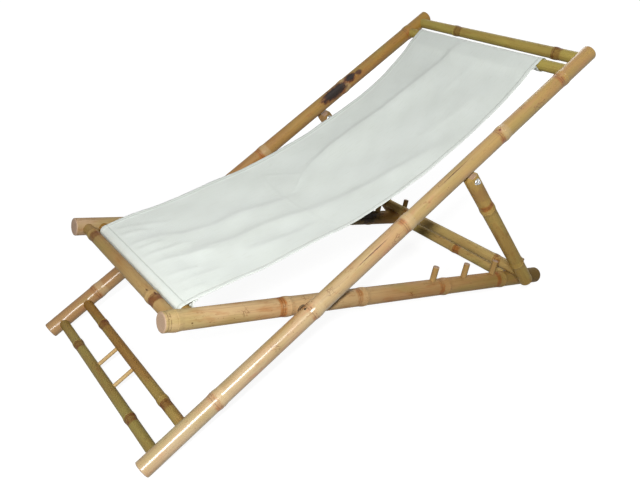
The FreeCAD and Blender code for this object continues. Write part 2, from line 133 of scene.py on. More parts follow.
# %% [markdown]
# The chair stands on a plain white sweep in even studio light.
# Such paper photographs as pure white with a faint shadow. White paper would also throw
# light up at the undersides of the poles, which are dark in the photograph.
# So this paper is a mid grey that still catches the shadow, with light of its own on top.
# Only the camera and reflections see that light. It grows to full white away from the lamps.

# %% White paper
own_light_near, own_light_far = 0.90, 1.0
near_the_chair, far_from_chair = 1.0, 2.6      # metres from the middle of the floor


def white_paper():
    material, tree = new_material("white_paper")
    path = add(tree, "ShaderNodeLightPath", {})
    seen = add(tree, "ShaderNodeMath", {0: path.outputs["Is Camera Ray"],
                                        1: path.outputs["Is Glossy Ray"]}, operation="MAXIMUM")
    seen = add(tree, "ShaderNodeMath", {0: seen, 1: path.outputs["Is Transmission Ray"]},
               operation="MAXIMUM")
    spot = add(tree, "ShaderNodeTexCoord", {})
    away = add(tree, "ShaderNodeVectorMath", {0: spot.outputs["Object"]}, operation="LENGTH")
    own_light = add(tree, "ShaderNodeMapRange", {
        "Value": away, "From Min": near_the_chair, "From Max": far_from_chair,
        "To Min": own_light_near, "To Max": own_light_far}, interpolation_type="SMOOTHSTEP")
    strength = add(tree, "ShaderNodeMath", {0: seen, 1: own_light}, operation="MULTIPLY")
    grey = add(tree, "ShaderNodeBsdfDiffuse", {"Color": linear("#808080")})
    glow = add(tree, "ShaderNodeEmission", {"Color": linear("#ffffff"), "Strength": strength})
    finish_material(tree, add(tree, "ShaderNodeAddShader", {0: grey, 1: glow}))
    return material


print("the paper's own light", own_light_near, "to", own_light_far)

# %% Floor
floor_mesh = bpy.data.meshes.new("floor")
shape = bmesh.new()
bmesh.ops.create_grid(shape, x_segments=1, y_segments=1, size=15)
shape.to_mesh(floor_mesh)
shape.free()
floor = bpy.data.objects.new("floor", floor_mesh)
bpy.context.scene.collection.objects.link(floor)
floor.data.materials.append(white_paper())
print("floor", floor.dimensions[:2])

# %% [markdown]
# Light comes from three lamps and the room.
# The key is a long, narrow lamp above the camera. It lies parallel to the long rails,
# so that its reflection draws a long gloss line on their varnish.
# A soft lamp hangs overhead. A larger one behind the head end lights the seat part of the
# cloth and the side that the photograph doesn't show.

# %% Lamps
def lamp(name, place, size, watts, long_way=Vector((1, 0, 0))):
    data = bpy.data.lights.new(name, "AREA")
    data.shape = "RECTANGLE"
    data.size, data.size_y = size
    data.energy = watts
    made = bpy.data.objects.new(name, data)
    bpy.context.scene.collection.objects.link(made)
    away = (Vector(place) - chair_middle).normalized()
    side = (long_way - away * long_way.dot(away)).normalized()
    turned = Matrix((side, away.cross(side), away)).transposed().to_4x4()
    made.matrix_world = Matrix.Translation(Vector(place)) @ turned
    return made


chair_middle = Vector((0, 0, 0.3))
rail_slope = math.radians(28.2)
rail_way = Vector((math.cos(rail_slope), 0, math.sin(rail_slope)))
key = lamp("key_lamp", (-1.30, -1.52, 1.44), (0.78, 0.13), 54, rail_way)
soft = lamp("soft_lamp", (-0.6, -0.6, 3.2), (2.0, 2.0), 8)
fill = lamp("fill_lamp", (2.5, 1.8, 2.0), (1.8, 1.8), 35)
print("lamps", [round(light.data.energy) for light in (key, soft, fill)], "watts")

# %% Room
room_light = 0.12
world = bpy.data.worlds.new("studio")
bpy.context.scene.world = world
world.use_nodes = True
world.node_tree.nodes.clear()
path = add(world.node_tree, "ShaderNodeLightPath", {})
seen = add(world.node_tree, "ShaderNodeMath", {
    0: path.outputs["Is Camera Ray"], 1: path.outputs["Is Glossy Ray"]}, operation="MAXIMUM")
seen = add(world.node_tree, "ShaderNodeMath", {
    0: seen, 1: path.outputs["Is Transmission Ray"]}, operation="MAXIMUM")
room = add(world.node_tree, "ShaderNodeBackground", {"Color": linear("#ffffff"), "Strength": room_light})
white = add(world.node_tree, "ShaderNodeBackground", {"Color": linear("#ffffff"), "Strength": 1.0})
mixed = add(world.node_tree, "ShaderNodeMixShader", {0: seen, 1: room, 2: white})
add(world.node_tree, "ShaderNodeOutputWorld", {"Surface": mixed})
bpy.context.scene.view_settings.view_transform = "Standard"
print("room light", room_light)

# %% [markdown]
# Every bamboo pole has a line that runs through its middle.
# The surface pattern has to follow that line, so each pole gets a start and a way.
# Rails start at the main pivot, prop legs at their hinge and cross bars at the middle plane.

# %% Slopes of the frames
def middle(name):
    low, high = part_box(name)
    return (low + high) / 2


def way_to(name, start):
    """Way from a pivot to a piece, as seen from the side."""
    way = middle(name) - start
    way.y = 0
    return way.normalized()


pivot = joint_at["back_fold"]
hinge = joint_at["prop_swing"]
back_way = way_to("head_bar", pivot)
seat_way = way_to("rear_bar", pivot)
leg_way = way_to("prop_bar", hinge)
seat_up = Vector((-seat_way.z, 0, seat_way.x))
for name, way in (("back", back_way), ("seat", seat_way), ("prop", leg_way)):
    print(name, "frame rises", round(math.degrees(math.atan2(way.z, way.x)), 2), "degrees")

# %% Lines through the poles
def pole_line(name):
    here = middle(name)
    beside_pivot = Vector((pivot.x, here.y, pivot.z))
    if name.startswith("back_rail"):
        return beside_pivot, back_way
    if name.startswith("seat_rail"):
        return beside_pivot, seat_way
    if name.startswith("rest_pegs"):
        return beside_pivot, seat_up
    if name.startswith("prop_leg"):
        return Vector((hinge.x, here.y, hinge.z)), leg_way
    if name.startswith("foot_spindle"):
        return here, back_way
    return Vector((here.x, 0, here.z)), Vector((0, 1, 0))


def ends_along(name, start, way):
    along = [(v.co - start).dot(way) for v in nodes[name].data.vertices]
    return min(along), max(along)


for name in ("back_rail_left", "head_bar", "prop_leg_left"):
    print(name, [round(x, 4) for x in ends_along(name, *pole_line(name))])

# %% [markdown]
# Bamboo is a grass. Between its nodes the skin is smooth and waxy, with very fine fibres.
# At each node there is a raised ring, with the brown scar of a fallen leaf sheath below it.
# Varnish over it gives a clear gloss. The cut ends show pinkish, dull pith.
# An image of bamboo would need unwrapping and would repeat. Noise doesn't, and it can be
# stretched along each pole, so every mark below is noise or a distance in coordinates
# whose X runs along the pole. Each feature is painted over the ones before it.

# %% Coordinates that run along a pole
fibre_long, fibre_wide = 111.1, 1.0526       # millimetres
fibre_height = 0.00006                       # metres


class Skin:
    """The shader of one pole while it is built up."""

    def __init__(self, name, seed):
        start, way = pole_line(name)
        self.name = name
        self.seed = seed
        self.is_crossbar = abs(way.y) > 0.5
        self.first, self.last = ends_along(name, start, way)
        self.material, self.tree = new_material(name + "_bamboo")
        spot = add(self.tree, "ShaderNodeTexCoord", {})
        self.local = add(self.tree, "ShaderNodeMapping", {
            "Vector": spot.outputs["Object"], "Location": start,
            "Rotation": way.to_track_quat("X", "Z").to_euler()}, vector_type="TEXTURE")
        self.along = add(self.tree, "ShaderNodeSeparateXYZ", {0: self.local}).outputs["X"]
        self.colour = None                   # the first layer sets it
        self.fibre = self.grain(fibre_long, fibre_wide, detail=3, shift=0.0)
        self.slow = self.grain(142.9, 35.71, detail=3, shift=3.1)
        self.cloud = self.grain(14.29, 6.667, detail=5, shift=9.3, roughness=0.65)
        self.height = add(self.tree, "ShaderNodeMath", {0: self.fibre, 1: fibre_height},
                          operation="MULTIPLY")

    def in_lumps(self, long_mm, wide_mm):
        """Coordinates in which a lump of this length and width measures one."""
        per_metre = (1000 / long_mm, 1000 / wide_mm, 1000 / wide_mm)
        return add(self.tree, "ShaderNodeVectorMath", {0: self.local, 1: per_metre},
                   operation="MULTIPLY")

    def grain(self, long_mm, wide_mm, detail, shift, roughness=0.5):
        """Noise from 0 to 1 whose lumps have this length and width."""
        return add(self.tree, "ShaderNodeTexNoise", {
            "Vector": self.in_lumps(long_mm, wide_mm), "W": self.seed + shift, "Scale": 1.0,
            "Detail": detail, "Roughness": roughness}, noise_dimensions="4D")

    def paint(self, share, colour):
        """Lay a colour over the skin, where its share says."""
        self.colour = add(self.tree, "ShaderNodeMix", {0: share, 6: self.colour, 7: linear(colour)},
                          data_type="RGBA")


cross = [name for name in nodes if name.endswith("_bar")]
print("poles that run across the chair", len(cross))

# %% Places of the scars
# Metres along each pole from its start. The short pieces have none
rings = {
    "back_rail_left": (-0.263, 0.005, 0.285, 0.606, 0.824),
    "back_rail_right": (-0.306, -0.034, 0.266, 0.578, 0.852),
    "seat_rail_left": (-0.050, 0.165, 0.446, 0.680),
    "seat_rail_right": (-0.186, 0.078, 0.332, 0.604, 0.810),
    "head_bar": (-0.211, 0.125),
    "lower_foot_bar": (-0.159, 0.156),
    "upper_foot_bar": (-0.198, 0.152),
    "front_bar": (-0.157, 0.171),
    "rear_bar": (-0.034, 0.180),
    "prop_bar": (-0.197, 0.185),
    "prop_leg_left": (0.097,),
    "prop_leg_right": (0.178, 0.396),
}
thin_rings = {"seat_rail_left": (-0.310,)}    # only a line, without a brown scar
print("poles with scars", len(rings))

# %% Tones of the culms
# Each tone is the colour at the pole's start, at its end, and of the rusty blush
straw = ("#baa37e", "#b5934a", "#bb825c")     # varnished, paler towards the foot
wheat = ("#c4a77c", "#aa834a", "#a87042")
honey = ("#a98659", "#a68036", "#9c653a")
olive = ("#ad9c52", "#ab9a50", "#93703c")     # cut younger, dried greenish
dun = ("#b19474", "#9c7a38", "#94613a")
reed = ("#c2a769", "#c4a664", "#9f7642")
moss = ("#877a42", "#927f44", "#855a2c")
umber = ("#9d8049", "#957130", "#7c4c22")     # brown, as after smoking
dusk = ("#ad905f", "#967b4a", "#8e5b2c")
straw_green = ("#c6a861", "#b0974f", "#96642f")
pale = ("#c2a676", "#bb9c68", "#ab8050")      # split and turned, unvarnished
tan = ("#ad8f5c", "#a98a54", "#966a40")
print("straw is", [round(x, 2) for x in linear(straw[0])[:3]], "in linear values")

# %% Tone, blush and fibres
def paint_tones(skin, tones):
    """Broad tones first, then patches, fibres a millimetre wide and small brown clouds."""
    at_start, at_end, blush = tones
    skin.colour = linear(at_start)
    layers = [
        (skin.along, skin.first, skin.last, 1.0, at_end),
        (skin.slow, 0.38, 0.66, 0.35, blush),
        (skin.grain(62.5, 16.667, detail=4, shift=7.7, roughness=0.6), 0.52, 0.72, 0.6, blush),
        (skin.fibre, 0.45, 0.72, 0.25, "#5b3a1c"),
        (skin.cloud, 0.58, 0.70, 0.5, "#8a5a30"),
    ]
    if skin.name in rings:
        layers.insert(3, (skin.grain(166.7, 45.45, detail=2, shift=31.7), 0.48, 0.64, 0.42, "#968a4a"))
    for value, low, high, most, colour in layers:
        share = add(skin.tree, "ShaderNodeMapRange", {
            "Value": value, "From Min": low, "From Max": high, "To Max": most},
            interpolation_type="SMOOTHSTEP")
        skin.paint(share, colour)


print("fibres", fibre_wide, "mm wide and", fibre_long, "mm long")

# %% Hairline cracks
crack_long, crack_wide = 625, 1.923


def add_cracks(skin):
    """Thin and long, in a few places of the skin."""
    some = add(skin.tree, "ShaderNodeMapRange", {
        "Value": skin.grain(250, 41.67, detail=2, shift=23.1), "From Min": 0.56, "From Max": 0.66,
        "To Max": 0.7}, interpolation_type="SMOOTHSTEP")
    cracks = add(skin.tree, "ShaderNodeMapRange", {
        "Value": skin.grain(crack_long, crack_wide, detail=2, shift=21.3),
        "From Min": 0.70, "From Max": 0.74, "To Max": some}, interpolation_type="SMOOTHSTEP")
    skin.paint(cracks, "#74401f")


print("cracks lie in lumps", crack_long, "mm long")

# %% Insect tracks
scribble_spots = {
    "seat_rail_left": ((-0.144, -0.017, 0.010), (0.012, -0.003, 0.019), (-0.050, -0.012, 0.015)),
    "back_rail_left": ((0.065, -0.010, 0.017), (-0.100, -0.015, 0.012), (0.700, 0.005, 0.018)),
}
spot_edge, spot_core = 0.014, 0.007


def add_insect_tracks(skin):
    """Scribbles along the edges of small cells, here and there and at the spots above."""
    tree = skin.tree
    tracked = add(tree, "ShaderNodeMapRange", {
        "Value": skin.grain(76.92, 26.32, detail=3, shift=15.7), "From Min": 0.62, "From Max": 0.68},
        interpolation_type="SMOOTHSTEP")
    for place in scribble_spots.get(skin.name, ()):
        away = add(tree, "ShaderNodeVectorMath", {0: skin.local, 1: place}, operation="DISTANCE")
        close = add(tree, "ShaderNodeMapRange", {
            "Value": away, "From Min": spot_edge, "From Max": spot_core},
            interpolation_type="SMOOTHSTEP")
        tracked = add(tree, "ShaderNodeMath", {0: tracked, 1: close}, operation="MAXIMUM")
    cells = add(tree, "ShaderNodeTexVoronoi", {
        "Vector": skin.in_lumps(11.11, 7.692), "W": skin.seed, "Scale": 1.0},
        voronoi_dimensions="4D", feature="DISTANCE_TO_EDGE")
    faint = add(tree, "ShaderNodeMath", {0: tracked, 1: 0.65}, operation="MULTIPLY")
    tracks = add(tree, "ShaderNodeMapRange", {
        "Value": cells, "From Min": 0.05, "From Max": 0.02, "To Max": faint},
        interpolation_type="SMOOTHSTEP")
    skin.paint(tracks, "#6b4526")


print("insect tracks at", sum(len(spots) for spots in scribble_spots.values()), "chosen spots")

# %% Freckles
freckle_cell = 6.667, 4.762              # millimetres along and across


def add_freckles(skin):
    """Dark dots of about a millimetre in the middle of small cells, in some places."""
    some = add(skin.tree, "ShaderNodeMapRange", {
        "Value": skin.grain(50, 22.22, detail=2, shift=12.9), "From Min": 0.46, "From Max": 0.58,
        "To Max": 0.7}, interpolation_type="SMOOTHSTEP")
    cells = add(skin.tree, "ShaderNodeTexVoronoi", {
        "Vector": skin.in_lumps(*freckle_cell), "W": skin.seed, "Scale": 1.0},
        voronoi_dimensions="4D")
    freckles = add(skin.tree, "ShaderNodeMapRange", {
        "Value": cells, "From Min": 0.24, "From Max": 0.12, "To Max": some},
        interpolation_type="SMOOTHSTEP")
    skin.paint(freckles, "#4c2c15")


print("one freckle at most in each cell of", freckle_cell, "mm")

# %% [markdown]
# A scar is a brown band a little below the raised ring of its node.
# Its edge wanders and its colour is patchy, because the sheath tore off unevenly.
# A groove runs round in it. On the varnished long rails the skin above it is paler.

# %% Brown scars
rust = ("#a5662f", 0.25)      # colour, and the least share of it that wear has left
scorch = ("#693414", 0.6)     # on green and brown poles
scar_reach_rail, scar_reach_bar = 0.0115, 0.0150
scar_wander = 0.006
scar_edge = 0.006


def away_from(skin, places, coordinate):
    """Distance along the pole to the nearest of some places."""
    nearest = None
    for place in places:
        gap = add(skin.tree, "ShaderNodeMath", {0: coordinate, 1: place}, operation="SUBTRACT")
        gap = add(skin.tree, "ShaderNodeMath", {0: gap}, operation="ABSOLUTE")
        if nearest is not None:
            gap = add(skin.tree, "ShaderNodeMath", {0: nearest, 1: gap}, operation="MINIMUM")
        nearest = gap
    return nearest


def add_scars(skin, scar):
    tree = skin.tree
    scar_colour, least = scar
    if skin.is_crossbar:
        reach, shift, dark = scar_reach_bar, -0.006, 0.7
    else:
        reach, shift, dark = scar_reach_rail, 0.002, 0.3
    wander = add(tree, "ShaderNodeMath", {0: skin.grain(33.33, 11.11, detail=3, shift=5.5), 1: 0.5},
                 operation="SUBTRACT")
    skin.wavy = add(tree, "ShaderNodeMath", {0: wander, 1: scar_wander, 2: skin.along},
                    operation="MULTIPLY_ADD")
    left = add(tree, "ShaderNodeMapRange", {
        "Value": skin.grain(41.67, 25, detail=3, shift=6.6, roughness=0.6),
        "From Min": 0.34, "From Max": 0.60},
        interpolation_type="SMOOTHSTEP")
    left = add(tree, "ShaderNodeMath", {0: left, 1: least}, operation="MAXIMUM")
    left = add(tree, "ShaderNodeMath", {0: left, 1: 0.85}, operation="MULTIPLY")
    band = add(tree, "ShaderNodeMapRange", {
        "Value": away_from(skin, [place + shift for place in rings[skin.name]], skin.wavy),
        "From Min": reach, "From Max": reach - scar_edge, "To Max": left},
        interpolation_type="SMOOTHSTEP")
    skin.paint(band, scar_colour)
    darker = add(tree, "ShaderNodeMath", {0: band, 1: dark}, operation="MULTIPLY")
    mottled = add(tree, "ShaderNodeMapRange", {
        "Value": skin.cloud, "From Min": 0.48, "From Max": 0.62, "To Max": darker},
        interpolation_type="SMOOTHSTEP")
    skin.paint(mottled, "#5a3216")


print("scars are", 2 * scar_reach_rail, "to", 2 * scar_reach_bar, "m wide")

# %% Pale skin above the scars
pale_above, pale_reach, pale_core = 0.019, 0.015, 0.006


def add_pale_skin(skin):
    """On the long rails, except at their last node."""
    places = [place + pale_above for place in rings[skin.name][:4]]
    share = add(skin.tree, "ShaderNodeMapRange", {
        "Value": away_from(skin, places, skin.wavy), "From Min": pale_reach,
        "From Max": pale_core, "To Max": 0.42}, interpolation_type="SMOOTHSTEP")
    skin.paint(share, "#c9b084")


print("pale skin", pale_above, "m above a scar")

# %% Grooves at the scars
groove_half, line_half = 0.0012, 0.0009
line_above = 0.0055
groove_depth = 0.0004


def add_grooves(skin):
    """A groove round the pole, and a finer, broken line a little above it."""
    tree = skin.tree
    places = rings[skin.name] + thin_rings.get(skin.name, ())
    groove = add(tree, "ShaderNodeMapRange", {
        "Value": away_from(skin, places, skin.along), "From Min": groove_half,
        "From Max": 0.0005, "To Max": 0.7}, interpolation_type="SMOOTHSTEP")
    broken = add(tree, "ShaderNodeMapRange", {
        "Value": skin.grain(25, 3.846, detail=3, shift=8.2), "From Min": 0.38, "From Max": 0.58},
        interpolation_type="SMOOTHSTEP")
    fine = add(tree, "ShaderNodeMapRange", {
        "Value": away_from(skin, [place + line_above for place in places], skin.along),
        "From Min": line_half, "From Max": 0.0003, "To Max": broken},
        interpolation_type="SMOOTHSTEP")
    lines = add(tree, "ShaderNodeMath", {0: groove, 1: fine}, operation="MAXIMUM")
    share = add(tree, "ShaderNodeMath", {0: lines, 1: 0.75 if skin.is_crossbar else 0.55},
                operation="MULTIPLY")
    skin.paint(share, "#4a2a14")
    skin.height = add(tree, "ShaderNodeMath", {0: lines, 1: -groove_depth, 2: skin.height},
                      operation="MULTIPLY_ADD")


print("grooves are", 2 * groove_half, "m wide and", groove_depth, "m deep")

# %% [markdown]
# Poles are straightened over a flame, which leaves burns. Knocks and drying leave cracks.
# These are single marks, so each is painted at its own place. Two of them are painted shadows, not burns:
# the sling's shadow on the far seat rail and the prop leg's shadow on the end of the near seat rail.
# A mark is a place in the pole's own coordinates, a size, a stretch and a colour.
# A small stretch makes it long: a burn runs a little along the fibres, a crack far.

# %% Places of the burns, cracks and painted shadows
burnt, ember, crack = "#0f0905", "#7a3a1c", "#4a2813"
pole_marks = {
    "back_rail_right": (
        ((0.552, -0.0140, 0.0120), 0.0205, 0.33, ember),
        ((0.556, -0.0140, 0.0120), 0.0200, 0.33, burnt),
        ((0.620, -0.0100, 0.0155), 0.0165, 0.6, ember),
        ((0.621, -0.0100, 0.0155), 0.0145, 0.6, burnt),
        ((0.652, -0.0137, 0.0124), 0.0100, 0.7, crack),
    ),
    "back_rail_left": (
        ((0.021, 0.002, 0.0194), 0.0020, 1.0, crack),
        ((0.455, -0.005, 0.0186), 0.0012, 0.020, crack),
        ((0.190, -0.011, 0.0160), 0.0012, 0.020, crack),
        ((0.616, -0.004, 0.0190), 0.0042, 0.9, ember),
        ((0.700, 0.009, 0.0170), 0.0060, 0.5, "#a5823a"),
        ((0.715, 0.011, 0.0160), 0.0026, 0.9, crack),
    ),
    "seat_rail_left": (
        ((-0.262, -0.0194, 0.0019), 0.0026, 0.8, crack),
        ((-0.223, -0.0195, -0.0012), 0.0022, 0.8, crack),
        ((0.310, -0.013, 0.0140), 0.0012, 0.025, crack),
        # Painted shadow of the prop leg, which falls on the end of this rail
        ((0.850, -0.010, 0.0120), 0.0450, 0.8, "#705828"),
    ),
    # Painted shadow of the sling, which falls on the far seat rail beside the edge of the cloth
    "seat_rail_right": (((0.600, -0.008, 0.0150), 0.0360, 0.42, "#1f130a"),),
    "prop_leg_left": (((0.045, 0.0, 0.0), 0.0380, 1.0, "#a5804c"),),
    "front_bar": (
        ((-0.128, 0.006, 0.0140), 0.0024, 0.35, crack),
        ((-0.152, -0.003, 0.0150), 0.0034, 0.5, crack),
    ),
}
print("single marks", sum(len(marks) for marks in pole_marks.values()))

# %% Burns, cracks and painted shadows
# In sizes of the mark: how far clouds pull its edge in, where it begins and where it is full
raggedness, mark_edge, mark_core = 1.3, 1.7, 1.1


def add_marks(skin):
    """Each mark is a stretched ball of colour, with an edge that the clouds make ragged."""
    tree = skin.tree
    for place, size, stretch, mark_colour in pole_marks.get(skin.name, ()):
        off = add(tree, "ShaderNodeVectorMath", {0: skin.local, 1: place}, operation="SUBTRACT")
        off = add(tree, "ShaderNodeVectorMath", {0: off, 1: (stretch, 1, 1)}, operation="MULTIPLY")
        away = add(tree, "ShaderNodeVectorMath", {0: off}, operation="LENGTH")
        ragged = add(tree, "ShaderNodeMath", {0: skin.cloud, 1: size * raggedness, 2: away},
                     operation="MULTIPLY_ADD")
        share = add(tree, "ShaderNodeMapRange", {
            "Value": ragged, "From Min": size * mark_edge, "From Max": size * mark_core,
            "To Max": 0.97}, interpolation_type="SMOOTHSTEP")
        skin.paint(share, mark_colour)


print("the largest mark has the size", max(mark[1] for marks in pole_marks.values() for mark in marks))

# %% Cut ends
cut_begins, cut_full = 0.0026, 0.0012    # metres from the very end
bundle_gap = 1.1111                      # millimetres between the dots of the fibre bundles


def add_cut_ends(skin):
    """Dull, pinkish pith, with the dots of the fibre bundles."""
    tree = skin.tree
    half = (skin.last - skin.first) / 2
    off = add(tree, "ShaderNodeMath", {0: skin.along, 1: (skin.first + skin.last) / 2},
              operation="SUBTRACT")
    off = add(tree, "ShaderNodeMath", {0: off}, operation="ABSOLUTE")
    skin.cut = add(tree, "ShaderNodeMapRange", {
        "Value": off, "From Min": half - cut_begins, "From Max": half - cut_full},
        interpolation_type="SMOOTHSTEP")
    bundles = add(tree, "ShaderNodeTexVoronoi", {"Vector": skin.local, "Scale": 1000 / bundle_gap})
    between = add(tree, "ShaderNodeMapRange", {"Value": bundles, "From Min": 0.15, "From Max": 0.45},
                  interpolation_type="SMOOTHSTEP")
    pith = add(tree, "ShaderNodeMix", {0: between, 6: linear("#8d7060"), 7: linear("#b79c84")},
               data_type="RGBA")
    pinker = add(tree, "ShaderNodeMapRange", {
        "Value": skin.slow, "From Min": 0.3, "From Max": 0.7, "To Max": 0.5},
        interpolation_type="SMOOTHSTEP")
    pith = add(tree, "ShaderNodeMix", {0: pinker, 6: pith, 7: linear("#a98d7c")}, data_type="RGBA")
    share = add(tree, "ShaderNodeMath", {0: skin.cut, 1: 0.9}, operation="MULTIPLY")
    skin.colour = add(tree, "ShaderNodeMix", {0: share, 6: skin.colour, 7: pith}, data_type="RGBA")


print("fibre bundles", bundle_gap, "mm apart")

# %% Varnish
wax_smooth, wax_rough, sawn_rough = 0.46, 0.60, 0.75


def varnish(skin, gloss):
    """A clear coat over a waxy skin. Its own index is high, so that a thin coat already shines."""
    tree = skin.tree
    bump = add(tree, "ShaderNodeBump", {"Height": skin.height, "Distance": 1.0, "Strength": 1.0})
    rough = add(tree, "ShaderNodeMapRange", {
        "Value": skin.slow, "From Min": 0.2, "From Max": 0.8, "To Min": wax_smooth,
        "To Max": wax_rough}, interpolation_type="SMOOTHSTEP")
    sawn = add(tree, "ShaderNodeMath", {0: skin.cut, 1: sawn_rough}, operation="MULTIPLY")
    rough = add(tree, "ShaderNodeMath", {0: rough, 1: sawn}, operation="MAXIMUM")
    shader = add(tree, "ShaderNodeBsdfPrincipled", {
        "Base Color": skin.colour, "Roughness": rough, "Normal": bump,
        "IOR": 1.4, "Specular IOR Level": 0.05, "Coat Weight": gloss, "Coat Roughness": 0.26,
        "Coat IOR": 2.0})
    finish_material(tree, shader)


print("roughness under the varnish", wax_smooth, "to", wax_rough)

# %% [markdown]
# Now the features come together, from the broad tones to the single marks.
# Every pole gets its own tone, scar and gloss, as no two culms in the photograph are alike.
# The long rails are the glossiest. Pegs and spindles are split from a culm and have no skin,
# and the sleeves hide most of the sling bars, so these get no scars.

# %% One finish from all the features
def bamboo(name, tones, scar, gloss, seed):
    skin = Skin(name, seed)
    paint_tones(skin, tones)
    if name in rings:
        add_cracks(skin)
        add_insect_tracks(skin)
        add_freckles(skin)
        add_scars(skin, scar)
        if name.startswith("back_rail"):
            add_pale_skin(skin)
        add_grooves(skin)
    add_marks(skin)
    add_cut_ends(skin)
    varnish(skin, gloss)
    return skin.material


def dress(name, material):
    nodes[name].data.materials.clear()
    nodes[name].data.materials.append(material)


print("poles with a single mark or more", len(pole_marks))

# %% Bamboo on every pole
pole_finish = {
    "back_rail_left": (straw, rust, 0.44),
    "back_rail_right": (honey, rust, 0.24),
    "seat_rail_left": (wheat, rust, 0.06),
    "seat_rail_right": (dun, scorch, 0.07),
    "head_bar": (olive, scorch, 0.07),
    "head_sling_bar": (olive, scorch, 0.06),
    "lower_foot_bar": (moss, scorch, 0.09),
    "upper_foot_bar": (umber, scorch, 0.09),
    "front_bar": (dusk, scorch, 0.07),
    "front_sling_bar": (umber, scorch, 0.05),
    "rear_bar": (reed, rust, 0.05),
    "prop_bar": (reed, rust, 0.05),
    "prop_leg_left": (straw_green, rust, 0.07),
    "prop_leg_right": (honey, rust, 0.07),
    "rest_pegs_left": (tan, rust, 0.02),
    "rest_pegs_right": (tan, rust, 0.02),
    "foot_spindle_left": (pale, rust, 0.02),
    "foot_spindle_right": (pale, rust, 0.02),
}
for number, (name, (tones, scar, gloss)) in enumerate(pole_finish.items()):
    dress(name, bamboo(name, tones, scar, gloss, 1.7 * number))
print("bamboo finishes", len(pole_finish))

# %% [markdown]
# The fasteners are mild steel with a zinc coat, dull after a while outdoors.
# The pins and nails in the main pivot are bare, darker steel, and its washers have browned.
# A fine stretched noise in the roughness stands for the marks of tools and turning.

# %% Steel
tool_mark_wide, tool_mark_long = 1.111, 8.333        # millimetres


def steel(name, hex_colour, roughness):
    material, tree = new_material(name)
    spot = add(tree, "ShaderNodeTexCoord", {})
    marks = add(tree, "ShaderNodeMapping", {
        "Vector": spot.outputs["Object"],
        "Scale": (1000 / tool_mark_wide, 1000 / tool_mark_long, 1000 / tool_mark_wide)})
    noise = add(tree, "ShaderNodeTexNoise", {"Vector": marks, "Scale": 1.0, "Detail": 3.0})
    dull = add(tree, "ShaderNodeMapRange", {
        "Value": noise, "To Min": roughness - 0.08, "To Max": roughness + 0.14})
    bump = add(tree, "ShaderNodeBump", {"Height": noise, "Distance": 0.00008})
    finish_material(tree, add(tree, "ShaderNodeBsdfPrincipled", {
        "Base Color": linear(hex_colour), "Metallic": 1.0, "Roughness": dull, "Normal": bump}))
    return material


zinc = steel("zinc_plated_steel", "#c6c8c8", 0.34)
bare = steel("bare_steel", "#4a4038", 0.5)
aged = steel("aged_zinc", "#8f7a5e", 0.6)
steel_finish = {
    "hinge_bolts": zinc, "hinge_nuts": zinc, "hinge_washers": zinc,
    "hinge_tongue_left": zinc, "hinge_tongue_right": zinc,
    "pivot_pins": bare, "pivot_lock_nails": bare, "pivot_washers": aged,
}
for name, metal in steel_finish.items():
    dress(name, metal)
print("steel on", len(steel_finish), "nodes")

# %% [markdown]
# The sling is one length of plain cotton canvas with a sleeve at each end.
# Each sleeve goes round its bar and is sewn to the sheet.
# Seen from the side, the cloth is a curve: round the front bar, along the sag, round the head bar.
# That curve is worked out first, and the sheet is then spread along it.
# A cloth simulation would find a sag and folds of its own, but the photograph shows these.
# So they were measured, and the cloth is laid on them.

# %% Measures of the sleeves and the sag
cloth_thickness = 0.0011
slack = 0.0004                 # cloth to bar
seam_behind = 0.020            # sleeve seam behind the axis of its bar
flap_end = 0.031               # raw end of the sleeve, under the sheet
front_slope = math.radians(9.4)
head_slope = math.radians(34.0)
sleeve_reach = 0.044           # where the free sheet begins
# Share of the way from sleeve to sleeve, and sag below the straight line
cloth_sag = (
    (0.143, 0.0331), (0.265, 0.0537), (0.378, 0.0711), (0.484, 0.0786),
    (0.609, 0.0741), (0.739, 0.0608), (0.866, 0.0380), (0.960, 0.0163),
)
print("deepest sag", max(sag for _, sag in cloth_sag), "m")

# %% Sleeve round a bar
under_gap = 0.0005             # flap to the sheet above it
sleeve_steps = 40
reach_steps = 6


def bar_radius(name):
    low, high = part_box(name)
    return (high.z - low.z) / 2


def flat(point):
    return Vector((point.x, point.z))


def sleeve_curve(name, slope, way):
    """Side view of a sleeve, from its raw end under the sheet, round the bar, to the sheet."""
    centre = flat(middle(name))
    radius = bar_radius(name) + slack + cloth_thickness / 2
    along = Vector((way * math.cos(slope), way * math.sin(slope)))
    upward = Vector((-math.sin(slope), math.cos(slope)))
    lean = math.atan2(radius, seam_behind)
    low_turn = 2 * lean - math.pi / 2

    def spot(a, b):
        return centre + along * a + upward * b

    under = radius - cloth_thickness - under_gap
    points = [spot(flap_end, under), spot(seam_behind, under)]
    turns = np.linspace(low_turn, math.pi / 2 - 2 * math.pi, sleeve_steps)
    points += [spot(radius * math.cos(turn), radius * math.sin(turn)) for turn in turns]
    points += [spot(sleeve_reach * i / reach_steps, radius) for i in range(1, reach_steps + 1)]
    return points


for bar in ("front_sling_bar", "head_sling_bar"):
    print(bar, "has the radius", round(bar_radius(bar), 4))

# %% Points of the side view
front_part = sleeve_curve("front_sling_bar", front_slope, 1)
head_part = sleeve_curve("head_sling_bar", head_slope, -1)[::-1]
sheet_start, sheet_end = front_part[-1], head_part[0]
chord = sheet_end - sheet_start
chord_down = Vector((chord.y, -chord.x)).normalized()
sag_points = [sheet_start + chord * share + chord_down * sag for share, sag in cloth_sag]
print("free sheet", round(chord.length, 4), "m, front sleeve starts at", front_part[0][:])

# %% Smooth curve through the points, evenly stepped
def through(points, steps):
    """Catmull-Rom curve through all points but the first and the last."""
    out = []
    for i in range(1, len(points) - 2):
        a, b, c, d = points[i - 1:i + 3]
        for k in range(steps):
            t = k / steps
            out.append(0.5 * (2 * b + (c - a) * t + (2 * a - 5 * b + 4 * c - d) * t * t
                              + (3 * b - a - 3 * c + d) * t ** 3))
    return out


